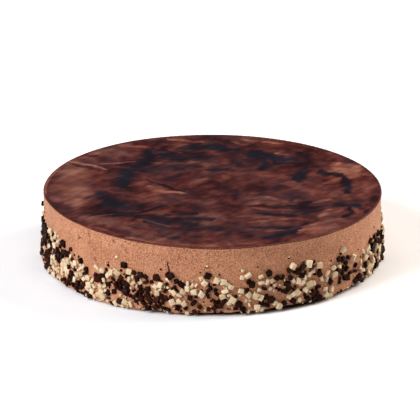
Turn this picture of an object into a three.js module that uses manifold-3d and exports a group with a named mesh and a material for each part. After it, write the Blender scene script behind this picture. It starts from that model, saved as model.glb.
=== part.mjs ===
// A round chocolate mousse cake, as it stands on the table: a thin dark sponge base, a tall smooth
// layer of milk chocolate mousse with dark and ivory chocolate chips pressed into its lower side,
// and a thin marbled glaze drawn over the top with a palette knife.
// Millimetres, +Z up. The origin is the centre of the underside, and the front is towards -Y.
import * as THREE from "three";
import { mergeVertices } from "three/addons/utils/BufferGeometryUtils.js";
import Module from "manifold-3d";

const wasm = await Module();
wasm.setup();

// ---------------------------------------------------------------- driving dimensions
const CAKE_RADIUS = 120; // the mousse's smooth side
const CAKE_HEIGHT = 49.3; // table to the mean level of the glaze
const GLAZE_THICKNESS = 1.3;
const RIM_THICKNESS = 0.8; // the glaze runs out to this at its rim
const LEAST_THICKNESS = 0.5; // of the glaze, in the deepest grooves
const EDGE_WIDTH = 10; // the mousse's top rises towards its edge over this width
const BULGE_TOP = 16; // below this the side bulges out
const SPONGE_HEIGHT = 4;
const SPONGE_INSET = 3; // the sponge stands back from the mousse's side
const GAP = 0.3; // kept between the sponge's edge and the mousse that hangs round it

const SIDE_SEGMENTS = 96; // facets round the mousse
const LAYER_SEGMENTS = 60; // facets round the sponge and the glaze
const GLAZE_RINGS = 15;

const GLAZE_TOP = CAKE_HEIGHT;
const MOUSSE_TOP = CAKE_HEIGHT - GLAZE_THICKNESS;
const SPONGE_RADIUS = CAKE_RADIUS - SPONGE_INSET;

const degrees = THREE.MathUtils.degToRad;

// ---------------------------------------------------------------- seeded chance
// A linear congruential generator: the same seed always bakes the same cake.
function seededChance(seed) {
  let state = seed >>> 0;
  return () => {
    state = (Math.imul(state, 1664525) + 1013904223) >>> 0;
    return state / 4294967296;
  };
}

// ---------------------------------------------------------------- profiles round the side
// Each knot is [angle in degrees, value, ...], where 0 faces the front and +90 the right.
// Between two knots the values follow a cosine ease, and the last knot runs on to the first.
function roundTheSide(knots, angle) {
  const turned = ((((angle - knots[0][0]) % 360) + 360) % 360) + knots[0][0];
  let next = knots.findIndex((knot) => knot[0] > turned);
  if (next < 0) next = knots.length;
  const low = knots[next - 1];
  const high = next < knots.length ? knots[next] : [knots[0][0] + 360, ...knots[0].slice(1)];
  const share = (turned - low[0]) / (high[0] - low[0]);
  const ease = (1 - Math.cos(Math.PI * share)) / 2;
  return low.slice(1).map((value, i) => value + (high[i + 1] - value) * ease);
}

// The mousse's lower edge, in mm above the table: ragged, and higher where the dark sponge shows.
const LOWER_EDGE = [
  [-180, 1.4],
  [-150, 2.4],
  [-120, 1.0],
  [-85, 0.7],
  [-40, 0.7],
  [-27, 0.9],
  [-19, 2.3],
  [-13, 1.5],
  [0, 2.6],
  [14, 2.3],
  [27, 3.4],
  [42, 2.3],
  [54, 2.9],
  [75, 1.2],
  [105, 2.2],
  [140, 1.1],
];

// How high the chips reach up the side, in mm, and how thickly they cover it, from 0 to 1.
const CHIP_BAND = [
  [-170, 29, 0.55],
  [-145, 25, 0.5],
  [-120, 31, 0.65],
  [-92, 27, 0.9],
  [-80, 34, 0.9],
  [-62, 34, 0.96],
  [-50, 27, 1.0],
  [-43, 18, 1.0],
  [-35, 28, 1.0],
  [-28, 32, 0.98],
  [-20, 26, 0.95],
  [-16, 31, 0.92],
  [-10, 26, 0.84],
  [-2, 31, 0.8],
  [7, 27, 0.66],
  [12, 32, 0.55],
  [20, 30, 0.6],
  [32, 34, 0.72],
  [39, 20, 0.35],
  [47, 31, 0.36],
  [57, 22, 0.45],
  [64, 32, 0.65],
  [80, 28, 0.7],
  [105, 31, 0.65],
  [130, 25, 0.55],
  [160, 31, 0.6],
];

// How far the mousse's top stands up at its edge, in mm: the palette knife pressed it unevenly.
const EDGE_RISE = [
  [-180, 0.6],
  [-130, 1.1],
  [-100, 1.0],
  [-85, 1.3],
  [-70, 2.6],
  [-54, 2.4],
  [-40, 2.0],
  [-28, 1.4],
  [-12, 0.8],
  [2, 0.3],
  [22, 0.6],
  [36, 0.1],
  [52, 0.0],
  [75, 0.2],
  [110, 0.4],
  [150, 0.4],
];

// How far the side bulges out at the foot, in mm, where the chips were pressed on in a heap.
const FOOT_BULGE = [
  [-180, 0.8],
  [-130, 1.6],
  [-95, 2.2],
  [-78, 2.0],
  [-62, 1.2],
  [-52, 1.6],
  [-40, 3.2],
  [-28, 3.4],
  [-12, 1.5],
  [5, 0.6],
  [45, 0.4],
  [75, 0.4],
  [88, 1.4],
  [120, 1.6],
  [155, 0.9],
];

// The side is a cake ring's smooth wall, out of true by a few tenths of a millimetre.
function wallRadius(angle, height) {
  const turn = degrees(angle);
  const slowWave = 0.25 * Math.sin(3 * turn + 0.6) + 0.15 * Math.sin(7 * turn + 2.1);
  const flare = 0.3 * (1 - height / CAKE_HEIGHT);
  const bulge = roundTheSide(FOOT_BULGE, angle)[0] * Math.max(0, 1 - height / BULGE_TOP);
  return CAKE_RADIUS + slowWave + flare + bulge;
}

// How far the mousse's top stands above its level at a place: it rises in a curve towards the edge.
function edgeLift(radius, angle) {
  const share = Math.max(0, 1 - (CAKE_RADIUS - radius) / EDGE_WIDTH);
  return roundTheSide(EDGE_RISE, angle)[0] * Math.min(1, share) ** 2;
}

// ---------------------------------------------------------------- relief of the glaze
// Folds that the knife left: [x, y, direction in degrees, length, width, height], in mm.
// A fold is steep on its front side and runs out gently behind; a negative height is a groove.
const KNIFE_FOLDS = [
  [-88, 47, -37, 38, 7, 0.9],
  [-45, 57, 4, 76, 6, 0.5],
  [-35, 6, -42, 44, 9, -1.0],
  [40, -22, -5, 34, 6, 0.9],
  [41, -35, 2, 36, 5, -0.8],
  [-66, -50, 2, 42, 6, -0.8],
  [-46, -77, -30, 46, 6, 0.6],
  [88, 24, -58, 46, 7, 0.7],
  [46, -76, 8, 44, 6, -0.8],
  [50, -91, 12, 44, 6, 0.5],
  [90, -44, 36, 52, 6, 0.6],
  [50, 38, 4, 34, 6, -0.7],
  [-10, -58, 14, 44, 8, 0.4],
  [4, 24, 20, 50, 9, 0.4],
  [-30, 92, -8, 60, 8, 0.5],
  [40, 88, -14, 50, 7, -0.5],
];

function foldHeight([x0, y0, direction, length, width, height], x, y) {
  const turn = degrees(direction);
  const along = (x - x0) * Math.cos(turn) + (y - y0) * Math.sin(turn);
  const across = (y - y0) * Math.cos(turn) - (x - x0) * Math.sin(turn);
  const steepness = across < 0 ? width * 0.45 : width;
  return height * Math.exp(-((across / steepness) ** 2) - ((2 * along) / length) ** 4);
}

function glazeRelief(x, y) {
  const slowWave =
    0.22 * Math.sin(x / 17 + 1.3 * Math.sin(y / 31)) + 0.2 * Math.sin(y / 13 + 1.7 * Math.sin(x / 41 + 1));
  return KNIFE_FOLDS.reduce((sum, fold) => sum + foldHeight(fold, x, y), slowWave);
}

// ---------------------------------------------------------------- solids and geometries
function toSolid(geometry) {
  const bare = geometry.index ? geometry.toNonIndexed() : geometry.clone();
  bare.deleteAttribute("normal");
  bare.deleteAttribute("uv");
  const merged = mergeVertices(bare, 1e-4);
  const corners = [];
  for (let i = 0; i < merged.index.count; i += 3) {
    const [a, b, c] = [0, 1, 2].map((k) => merged.index.getX(i + k));
    if (a !== b && b !== c && c !== a) corners.push(a, b, c);
  }
  const mesh = new wasm.Mesh({
    numProp: 3,
    vertProperties: merged.attributes.position.array,
    triVerts: new Uint32Array(corners),
  });
  return new wasm.Manifold(mesh);
}

function toGeometry(solid) {
  const mesh = solid.getMesh();
  const geometry = new THREE.BufferGeometry();
  geometry.setAttribute("position", new THREE.BufferAttribute(mesh.vertProperties, 3));
  geometry.setIndex(new THREE.BufferAttribute(mesh.triVerts, 1));
  return geometry;
}

// The largest outer skin of a solid: sealed hollows between chips fill up, and loose scraps drop off.
function outerBody(solid) {
  return solid.decompose().reduce((best, body) => (body.volume() > best.volume() ? body : best));
}

// A turned profile of [radius, height] points round the Z axis, with each point then moved by bend.
function turned(profile, segments, bend) {
  const points = profile.map(([radius, height]) => new THREE.Vector2(radius, height));
  const geometry = new THREE.LatheGeometry(points, segments);
  geometry.rotateX(Math.PI / 2);
  const position = geometry.attributes.position;
  const point = new THREE.Vector3();
  for (let i = 0; i < position.count; i++) {
    point.fromBufferAttribute(position, i);
    bend(point);
    position.setXYZ(i, point.x, point.y, point.z);
  }
  return geometry;
}

const sideAngle = (point) => THREE.MathUtils.radToDeg(Math.atan2(point.x, -point.y));

function setRadius(point, radius) {
  const turn = Math.atan2(point.x, -point.y);
  point.set(radius * Math.sin(turn), -radius * Math.cos(turn), point.z);
}

// ---------------------------------------------------------------- sponge base
function spongeBase() {
  const softEdge = 0.5;
  const profile = [
    [0, 0],
    [SPONGE_RADIUS - softEdge, 0],
    [SPONGE_RADIUS, softEdge],
    [SPONGE_RADIUS, SPONGE_HEIGHT],
    [0, SPONGE_HEIGHT],
  ];
  return turned(profile, LAYER_SEGMENTS, () => {});
}

// ---------------------------------------------------------------- mousse
function mousseBody() {
  const recess = SPONGE_HEIGHT;
  const recessRadius = SPONGE_RADIUS + GAP;
  const lip = (CAKE_RADIUS + recessRadius) / 2;
  const profile = [
    [0, recess],
    [recessRadius, recess],
    [recessRadius, 0],
    [lip, 0],
    [CAKE_RADIUS, 0],
    [CAKE_RADIUS, BULGE_TOP],
    [CAKE_RADIUS, MOUSSE_TOP],
    [CAKE_RADIUS - EDGE_WIDTH / 2, MOUSSE_TOP],
    [CAKE_RADIUS - EDGE_WIDTH, MOUSSE_TOP],
    [0, MOUSSE_TOP],
  ];
  return turned(profile, SIDE_SEGMENTS, (point) => {
    const angle = sideAngle(point);
    const radius = Math.hypot(point.x, point.y);
    if (point.z < 1e-6) point.z = roundTheSide(LOWER_EDGE, angle)[0] + (radius > lip + 0.1 ? 0.4 : 0);
    if (point.z > BULGE_TOP + 1) point.z += edgeLift(radius, angle);
    if (radius > lip + 0.1) setRadius(point, wallRadius(angle, point.z));
  });
}

// ---------------------------------------------------------------- chips
const CHIP_SEED = 20;
// Longest side of the chips of each class, in mm, and how many are tried for a place. The finer
// they are, the more they gather where the band is thick.
const CHIP_CLASSES = [
  { from: 3.4, to: 4.3, tries: 1900, gathering: 0.5 },
  { from: 2.6, to: 3.4, tries: 1800, gathering: 1.5 },
  { from: 1.6, to: 2.6, tries: 3600, gathering: 4 },
];
const CHIP_CLEARANCE = 0.49; // centres are at least this share of the two sizes apart,
const HEAPING = 0.1; // less this where the band is thickest and chips lie on each other
const BAND_FOOT = 1.5; // the band's chips are centred between these two heights
const BAND_LIMIT = 36;
const TABLE_CLEARANCE = 0.3; // no corner of a chip comes nearer to the table
const LARGEST_CHIPS = 268; // the rest are small enough to leave out of the solid

// Chips stick in clumps of a kind. The largest chip of each clump that is seen from the front:
// [angle, height, size, dark].
const CLUMPS = [
  [-90, 38, 3.5, true], [-85, 30, 3.8, true], [-79, 20, 3.7, true], [-76, 28, 3.5, true],
  [-73, 12, 3.7, true], [-69.5, 24, 4.2, true], [-70, 32.5, 3.9, false], [-65.5, 25, 4.2, false],
  [-66, 8, 3.7, false], [-64.5, 34, 3.7, false], [-62, 20.5, 4, true], [-59, 31, 4.6, true],
  [-57, 25, 3.5, true], [-57, 13.5, 3.7, false], [-55.5, 5.5, 3.8, true], [-55.5, 20, 4, false],
  [-54, 12, 3.7, true], [-54.3, 24.5, 3.3, false], [-54.5, 29.5, 2.8, true],
  [-50.5, 13.5, 3.5, false], [-49, 24.5, 4, true], [-48, 6, 3.7, true], [-48.8, 19, 3.5, false],
  [-46, 20, 3.7, true], [-47, 12.5, 3.3, false], [-44, 10, 4.3, false], [-41, 24.5, 4, false],
  [-40, 18, 3.8, true], [-38.5, 8, 4.2, false], [-35, 23.5, 4.2, false], [-33, 15, 4.7, true],
  [-30, 31, 4.2, true], [-29.5, 12.5, 4.3, true], [-28, 27, 4, false], [-29, 5.5, 4, false],
  [-26.5, 19.5, 4.3, false], [-24, 26, 4.2, true], [-24, 14, 4.3, true], [-18.5, 26, 4.3, true],
  [-17, 21, 4, false], [-17, 6.5, 4, true], [-15, 12, 4, true], [-13.5, 28, 4.7, true],
  [-12.5, 16.5, 4, false], [-13, 9.5, 4.2, false], [-10, 22.5, 4.2, true], [-8, 20, 4.2, false],
  [-9, 9, 4.3, false], [-6, 10, 4.7, true], [-2.5, 24.5, 4.2, false], [-1.5, 29.5, 4.2, true],
  [-1, 19.5, 4.7, true], [2.5, 8, 3.8, true], [3.5, 25, 4.3, false], [4, 18.5, 4.5, false],
  [6.5, 12, 4.3, false], [8.5, 8.5, 4.3, true], [11.5, 29, 4.5, false], [12.8, 22, 4.3, true],
  [14, 14, 4.5, false], [14.5, 5.5, 4, false], [17.8, 23, 4.2, false], [18.5, 29, 4.2, true],
  [19, 9.5, 4.7, true], [22, 4.5, 4, false], [23.8, 14, 4.7, true], [24.8, 19.5, 4.3, true],
  [23.2, 24.5, 3.8, true], [27, 31.5, 4.3, false], [28.5, 12, 4.3, false], [29, 20, 4.3, false],
  [30.5, 29.5, 4.2, true], [32.8, 31, 4.7, false], [34.8, 31, 3.4, true], [33, 16, 4.3, false],
  [34.5, 9, 4.2, true], [37.3, 21.5, 4.2, true], [37, 28, 4.2, false], [37, 4.6, 4.3, true],
  [42, 13.5, 4, true], [43.5, 22.5, 3.5, false], [42.5, 7.5, 4.2, false], [48, 33, 4.2, false],
  [48, 26.5, 4.2, true], [48.5, 13, 4.3, true], [53.5, 24.5, 4.5, false], [55, 17.5, 3.8, true],
  [57, 7, 4.6, true], [59.3, 11, 4, false], [61.8, 13.5, 4.2, true], [61.5, 19, 4.2, false],
  [63, 24, 4.3, false], [66, 28, 4.3, true], [68, 23, 4.6, true], [64, 10.5, 4.6, false],
  [68.5, 12, 4.4, false], [71.5, 5.5, 4.3, true], [75, 27, 4, true], [76, 14, 4.3, false],
  [-33, 35.5, 1.9, false], [9.7, 32.5, 2.2, false],
];
// Round the back, clumps fall between these angles, in degrees, by chance.
const BACK_CLUMPS = { from: 80, to: 270, count: 95 };
const CLUMP_REACH = 6; // mm that a clump spreads from its largest chip
const TRUE_TO_KIND = 0.55; // share of the darts that stay true to the clump's kind
const DARK_SHARE = 0.64; // of the others

function chipPlan() {
  const chance = seededChance(CHIP_SEED);
  const chips = [];

  const between = (from, to) => from + (to - from) * chance();
  const apart = (angle, height, other) => {
    const turn = Math.abs(((((angle - other.angle) % 360) + 540) % 360) - 180);
    return Math.hypot(degrees(turn) * CAKE_RADIUS, height - other.height);
  };
  const isFree = (angle, height, size, cover) => {
    const clearance = CHIP_CLEARANCE - HEAPING * cover;
    return chips.every((other) => apart(angle, height, other) > clearance * (size + other.size));
  };
  const lowestPlace = (angle, size) =>
    Math.max(0.3 + 0.6 * size, roundTheSide(LOWER_EDGE, angle)[0] + 0.35 * size);
  const add = (angle, height, size, dark) => {
    const slender = chance() < 0.28 ? 0.5 : 0.8 + 0.2 * chance();
    chips.push({
      angle,
      height: Math.max(height, lowestPlace(angle, size)),
      size,
      dark,
      width: size * slender,
      thickness: size * (dark ? 0.56 : 0.62),
      spin: 360 * chance(),
      tiltA: 44 * (chance() - 0.5),
      tiltB: 44 * (chance() - 0.5),
      standing: 0.3 + 0.6 * chance(),
      corners: Array.from({ length: 24 }, () => 1 + 0.3 * (chance() - 0.5)),
    });
  };

  CLUMPS.forEach((clump) => add(...clump));
  for (let i = 0; i < BACK_CLUMPS.count; i++) {
    const angle = between(BACK_CLUMPS.from, BACK_CLUMPS.to);
    const height = between(BAND_FOOT, roundTheSide(CHIP_BAND, angle)[0]);
    const size = between(3.7, 4.7);
    const dark = chance() < 0.5;
    if (isFree(angle, height, size, 0.5)) add(angle, height, size, dark);
  }
  const clumps = chips.slice();

  for (const { from, to, tries, gathering } of CHIP_CLASSES) {
    for (let i = 0; i < tries; i++) {
      const angle = between(-180, 180);
      const height = between(BAND_FOOT, BAND_LIMIT);
      const size = between(from, to);
      const distances = clumps.map((clump) => apart(angle, height, clump));
      const nearest = Math.min(...distances);
      const kind = clumps[distances.indexOf(nearest)];
      const dark = chance() < TRUE_TO_KIND ? kind.dark : chance() < DARK_SHARE;
      const [reach, cover] = roundTheSide(CHIP_BAND, angle);
      const fading = Math.min(1, Math.max(0, (reach - height) / 6));
      const crowding = 0.35 + 1.3 * Math.exp(-((nearest / CLUMP_REACH) ** 2));
      const sticks = chance() < cover ** gathering * crowding * fading && height > lowestPlace(angle, size);
      if (sticks && isFree(angle, height, size, cover)) add(angle, height, size, dark);
    }
  }
  return chips;
}

// A chip is a broken block: a box with its corners pushed about, sunk into the side at its angle.
function chipBlock(chip) {
  const geometry = new THREE.BoxGeometry(1, 1, 1);
  const position = geometry.attributes.position;
  for (let i = 0; i < position.count; i++) {
    const [x, y, z] = [position.getX(i), position.getY(i), position.getZ(i)];
    const corner = 3 * ((x > 0 ? 1 : 0) + (y > 0 ? 2 : 0) + (z > 0 ? 4 : 0));
    position.setXYZ(
      i,
      x * chip.size * chip.corners[corner],
      y * chip.thickness * chip.corners[corner + 1],
      z * chip.width * chip.corners[corner + 2],
    );
  }
  const tumble = new THREE.Euler(degrees(chip.tiltA), degrees(chip.spin), degrees(chip.tiltB), "YXZ");
  geometry.applyMatrix4(new THREE.Matrix4().makeRotationFromEuler(tumble));
  const out = wallRadius(chip.angle, chip.height) + (chip.thickness / 2) * chip.standing;
  geometry.computeBoundingBox();
  const height = Math.max(chip.height, TABLE_CLEARANCE - geometry.boundingBox.min.z);
  geometry.translate(0, -out, height);
  geometry.rotateZ(degrees(chip.angle));
  return geometry;
}

// A thread of dark chocolate that runs up the side from one chip.
function chocolateThread() {
  const [angle, foot, length, thickness] = [-14.6, 28, 10, 1.1];
  const geometry = new THREE.CylinderGeometry(thickness * 0.3, thickness * 0.75, length, 5);
  geometry.rotateX(Math.PI / 2);
  geometry.translate(0, -wallRadius(angle, foot), foot + length / 2);
  return geometry.rotateZ(degrees(angle));
}

function mousseWithChips() {
  const chips = chipPlan();
  const pressedIn = chips.slice(0, LARGEST_CHIPS).map((chip) => toSolid(chipBlock(chip)));
  const parts = [toSolid(mousseBody()), toSolid(chocolateThread()), ...pressedIn];
  return toGeometry(outerBody(wasm.Manifold.union(parts)));
}

// ---------------------------------------------------------------- glaze
// It runs out thin at its rim, where it lies on the raised edge of the mousse.
function marbledGlaze() {
  const rim = CAKE_RADIUS + 0.2;
  const softEdge = 0.2;
  const underside = [
    [0, MOUSSE_TOP],
    [CAKE_RADIUS - EDGE_WIDTH - GAP, MOUSSE_TOP],
    [CAKE_RADIUS - EDGE_WIDTH / 2, MOUSSE_TOP],
    [rim - softEdge, MOUSSE_TOP],
  ];
  const top = Array.from({ length: GLAZE_RINGS + 1 }, (_, i) => {
    const share = 1 - i / GLAZE_RINGS;
    return [(rim - softEdge) * share, GLAZE_TOP];
  });
  const profile = [...underside, [rim, GLAZE_TOP - softEdge], ...top];
  return turned(profile, LAYER_SEGMENTS, (point) => {
    const radius = Math.hypot(point.x, point.y);
    const lift = edgeLift(radius, sideAngle(point));
    const nearRim = THREE.MathUtils.smoothstep(radius, rim - EDGE_WIDTH, rim);
    if (point.z > MOUSSE_TOP + GAP) {
      const thinner = (GLAZE_THICKNESS - RIM_THICKNESS) * nearRim;
      const thickness = point.z - MOUSSE_TOP - thinner + glazeRelief(point.x, point.y) * (1 - 0.8 * nearRim);
      point.z = MOUSSE_TOP + lift + Math.max(LEAST_THICKNESS, thickness);
    } else if (radius > CAKE_RADIUS - EDGE_WIDTH) {
      point.z += lift + GAP;
    }
  });
}

// ---------------------------------------------------------------- the cake
function piece(name, geometry, color, roughness) {
  const material = new THREE.MeshStandardMaterial({ color, roughness, metalness: 0 });
  const mesh = new THREE.Mesh(geometry, material);
  mesh.name = name;
  return mesh;
}

const cake = new THREE.Group();
cake.name = "chocolate_mousse_cake";
cake.add(piece("sponge_base", spongeBase(), 0x2a1712, 0.95));
cake.add(piece("mousse_with_chips", mousseWithChips(), 0xc08a68, 0.8));
cake.add(piece("marbled_glaze", marbledGlaze(), 0x5a332b, 0.4));

export default cake;
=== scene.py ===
# %% [markdown]
# # A chocolate mousse cake
# The real thing is built in a ring: a thin dark sponge goes in first, milk chocolate mousse is
# piped on top and set, and a marbled chocolate glaze is drawn over it with a palette knife. When
# the ring is off, diced dark and ivory chocolate is pressed into the lower side by hand. Each of
# those stages is one piece here, made in the same order.
#
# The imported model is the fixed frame: it says where every piece is. The pieces below replace its
# plain solids with finer ones of the same form. All the modelling is in millimetres, and a piece
# is scaled to metres when it is finished.

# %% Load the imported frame
import math

import bmesh
import bpy
import numpy as np
from mathutils import Matrix, Vector


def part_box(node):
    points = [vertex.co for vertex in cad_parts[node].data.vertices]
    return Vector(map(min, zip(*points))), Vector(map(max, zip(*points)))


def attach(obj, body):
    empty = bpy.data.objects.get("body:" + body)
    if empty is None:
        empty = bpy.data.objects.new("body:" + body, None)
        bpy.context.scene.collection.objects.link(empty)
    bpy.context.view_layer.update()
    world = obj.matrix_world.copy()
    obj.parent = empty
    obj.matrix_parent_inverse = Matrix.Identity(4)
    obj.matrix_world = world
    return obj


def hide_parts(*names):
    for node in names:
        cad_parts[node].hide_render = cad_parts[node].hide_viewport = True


MM = 0.001

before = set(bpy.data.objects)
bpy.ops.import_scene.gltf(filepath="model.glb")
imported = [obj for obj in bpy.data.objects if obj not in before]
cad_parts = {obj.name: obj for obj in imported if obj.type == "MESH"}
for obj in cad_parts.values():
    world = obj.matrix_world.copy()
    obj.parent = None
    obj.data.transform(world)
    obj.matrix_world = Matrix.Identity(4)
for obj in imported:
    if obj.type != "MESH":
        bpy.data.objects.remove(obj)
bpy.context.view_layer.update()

# %% [markdown]
# ## Sizes
# Every size follows from a few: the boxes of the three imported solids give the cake's radius, the
# level where the glaze lies on the mousse, and the size of the sponge.

# %% Read the driving sizes
RIM_OVERHANG = 0.2
GLAZE_THICKNESS = 1.3
RIM_THICKNESS = 0.8  # the glaze runs out to this at its rim
LEAST_THICKNESS = 0.5  # of the glaze, in the deepest grooves
EDGE_WIDTH = 10  # the mousse's top rises towards its edge over this width
BULGE_TOP = 16  # below this the side bulges out

glaze_low, glaze_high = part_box("marbled_glaze")
sponge_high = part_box("sponge_base")[1]

RIM_RADIUS = glaze_high.x / MM
CAKE_RADIUS = RIM_RADIUS - RIM_OVERHANG
MOUSSE_TOP = glaze_low.z / MM
GLAZE_TOP = MOUSSE_TOP + GLAZE_THICKNESS
SPONGE_RADIUS = sponge_high.x / MM
SPONGE_HEIGHT = sponge_high.z / MM
print(f"radius {CAKE_RADIUS:.1f} mm, glaze from {MOUSSE_TOP:.1f} to {GLAZE_TOP:.1f} mm")

# %% [markdown]
# ## The camera
# The photograph was taken with a long lens from about 20 degrees above the table. A camera that
# far away flattens the perspective, so the cake's top shows as an almost perfect ellipse. The
# camera is aimed a little below the middle of the top, which puts the cake where it is in the
# photograph, so that no lens shift is needed.

# %% Place the camera
IMAGE_WIDTH_PX = 420
SENSOR_WIDTH_MM = 36
FOCAL_PX = 3036
CAMERA_ELEVATION = math.radians(19.6)
CAMERA_DISTANCE = 18 * CAKE_RADIUS
TOP_CENTRE_IN_PHOTO = (212.5, 188.4)  # pixel that the middle of the top falls on

px_at_cake = CAMERA_DISTANCE / FOCAL_PX  # millimetres to a pixel
from_cake = Vector((0, -math.cos(CAMERA_ELEVATION), math.sin(CAMERA_ELEVATION)))
image_up = Vector((0, math.sin(CAMERA_ELEVATION), math.cos(CAMERA_ELEVATION)))
top_centre = Vector((0, 0, GLAZE_TOP))
right_of_middle = TOP_CENTRE_IN_PHOTO[0] - IMAGE_WIDTH_PX / 2
above_middle = IMAGE_WIDTH_PX / 2 - TOP_CENTRE_IN_PHOTO[1]
aim = top_centre - px_at_cake * (right_of_middle * Vector((1, 0, 0)) + above_middle * image_up)

camera = bpy.data.objects.new("camera", bpy.data.cameras.new("camera"))
bpy.context.scene.collection.objects.link(camera)
bpy.context.scene.camera = camera
camera.data.sensor_width = SENSOR_WIDTH_MM
camera.data.lens = FOCAL_PX * SENSOR_WIDTH_MM / IMAGE_WIDTH_PX
camera.location = (top_centre + CAMERA_DISTANCE * from_cake) * MM
camera.rotation_euler = (aim * MM - camera.location).to_track_quat("-Z", "Y").to_euler()
print(f"lens {camera.data.lens:.0f} mm, {CAMERA_DISTANCE * MM:.2f} m from the cake")

# %% [markdown]
# ## Tools for every piece
# A bmesh is Blender's mesh for scripts. It has the same operators as Edit Mode, and it can carry
# named values on its vertices, which a material reads later. One function turns a finished bmesh
# into an object. The others add the nodes that a material is made of, one kind each.


# %% Finish a piece
SHARP_ANGLE = math.radians(50)  # where two faces meet at more than this, the edge stays sharp


def finish_piece(name, bm, material, stands_for):
    """Turns a bmesh in millimetres into a piece in metres that rides on the cake."""
    for edge in bm.edges:
        edge.smooth = edge.calc_face_angle(0) < SHARP_ANGLE
    for face in bm.faces:
        face.smooth = True
    bmesh.ops.scale(bm, vec=(MM, MM, MM), verts=bm.verts)
    mesh = bpy.data.meshes.new(name)
    bm.to_mesh(mesh)
    bm.free()
    mesh.materials.append(material)
    piece = bpy.data.objects.new(name, mesh)
    bpy.context.scene.collection.objects.link(piece)
    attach(piece, "root")
    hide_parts(stands_for)
    print(f"{name}: {len(mesh.vertices)} vertices, {len(mesh.polygons)} faces")
    return piece


def places_of(bm):
    """The vertices' places as three arrays x, y and z."""
    return np.array([vertex.co for vertex in bm.verts]).T


def move_to(bm, x, y, z):
    """Puts each vertex at its place in the arrays."""
    for vertex, place in zip(bm.verts, np.stack([x, y, z], axis=1)):
        vertex.co = place


def keep_value(bm, name, values):
    """Stores one number for each vertex, which a material can read by name."""
    layer = bm.verts.layers.float.new(name)
    for vertex, value in zip(bm.verts, values):
        vertex[layer] = value


# %% Colours and nodes
def linear(code):
    """An sRGB hex colour such as "#c08a68" as the linear values that Blender works in."""
    parts = [int(code[i:i + 2], 16) / 255 for i in (1, 3, 5)]
    values = [c / 12.92 if c <= 0.04045 else ((c + 0.055) / 1.055) ** 2.4 for c in parts]
    return (*values, 1.0)


def set_up(tree, node, settings):
    """Gives a node its settings: a socket's value, a socket to link to it, or a property."""
    for name, value in settings.items():
        if isinstance(name, str) and name not in node.inputs:
            setattr(node, name, value)
        elif isinstance(value, bpy.types.NodeSocket):
            tree.links.new(value, node.inputs[name])
        else:
            node.inputs[name].default_value = value


def add_node(tree, kind, settings):
    """Adds a node with its settings."""
    node = tree.nodes.new(kind)
    set_up(tree, node, settings)
    return node


def attribute(tree, name):
    """A number that the mesh keeps on its vertices."""
    return add_node(tree, "ShaderNodeAttribute", {"attribute_name": name}).outputs["Fac"]


def noise(tree, vector, size, detail, **more):
    """Soft noise from 0 to 1, with spots of about that size."""
    settings = {"Vector": vector, "Scale": 1 / size, "Detail": detail, **more}
    return add_node(tree, "ShaderNodeTexNoise", settings).outputs["Fac"]


def calculate(tree, operation, *values, clamp=False):
    """One step of arithmetic with numbers or sockets."""
    settings = {"operation": operation, "use_clamp": clamp, **dict(enumerate(values))}
    return add_node(tree, "ShaderNodeMath", settings).outputs["Value"]


def spread(tree, value, old=(0.0, 1.0), new=(0.0, 1.0)):
    """The value with its old range stretched to a new one."""
    return add_node(tree, "ShaderNodeMapRange", {
        "Value": value,
        "From Min": old[0],
        "From Max": old[1],
        "To Min": new[0],
        "To Max": new[1],
    }).outputs["Result"]


def blend(tree, share, first, second):
    """Two colours mixed: a share of 0 is all the first, and 1 is all the second."""
    settings = {"data_type": "RGBA", "Factor": share, 6: first, 7: second}
    return add_node(tree, "ShaderNodeMix", settings).outputs[2]


def ramp(tree, value, stops):
    """The value as a colour. Each stop is a place from 0 to 1 and a hex colour."""
    node = add_node(tree, "ShaderNodeValToRGB", {"Fac": value})
    elements = node.color_ramp.elements
    while len(elements) < len(stops):
        elements.new(1.0)
    for element, (place, code) in zip(elements, stops):
        element.position = place
        element.color = linear(code)
    return node.outputs["Color"]


def bumps(tree, height, strength, depth):
    """A surface direction that follows the value, as if it were relief of that depth in mm."""
    settings = {"Height": height, "Strength": strength, "Distance": depth * MM}
    return add_node(tree, "ShaderNodeBump", settings).outputs["Normal"]


def new_material(name):
    """A material with an empty Principled shader, and its object coordinates in millimetres."""
    material = bpy.data.materials.new(name)
    material.use_nodes = True
    tree = material.node_tree
    shader = tree.nodes["Principled BSDF"]
    coordinates = add_node(tree, "ShaderNodeTexCoord", {})
    scale = add_node(tree, "ShaderNodeMapping", {
        "Vector": coordinates.outputs["Object"],
        "Scale": (1 / MM, 1 / MM, 1 / MM),
    })
    return material, tree, shader, scale.outputs["Vector"]


# %% [markdown]
# ## Chance that can be repeated
# A baker scatters by hand. A script that draws its random numbers from a seed scatters the same
# way each time. The rule below is a linear congruential generator, the oldest and shortest one.
# For surfaces, random hills on a grid with soft slopes between them give noise of any size.


# %% Seeded chance and noise
def seeded_chance(seed):
    """Returns a function that gives the next number from 0 to 1."""
    state = seed

    def chance():
        nonlocal state
        state = (state * 1664525 + 1013904223) % 2**32
        return state / 2**32

    return chance


def hills(x, y, seed, wrap=2**20):
    """Soft random hills from -1 to 1, one to a unit of x and y. They repeat after wrap units of x."""
    column, row = np.floor(x).astype(np.int64), np.floor(y).astype(np.int64)
    across, along = x - column, y - row
    across, along = across**2 * (3 - 2 * across), along**2 * (3 - 2 * along)

    def height(i, j):
        mixed = ((i % wrap) * 374761393 + j * 668265263 + seed * 974634777) % 2**32
        mixed = ((mixed ^ (mixed >> 13)) * 1274126177) % 2**32
        return (mixed ^ (mixed >> 16)) / 2**31 - 1

    near = height(column, row) * (1 - across) + height(column + 1, row) * across
    far = height(column, row + 1) * (1 - across) + height(column + 1, row + 1) * across
    return near * (1 - along) + far * along


def soft_step(values, start, end):
    """0 up to start, 1 from end on, and a soft slope between."""
    share = np.clip((values - start) / (end - start), 0, 1)
    return share**2 * (3 - 2 * share)


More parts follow.
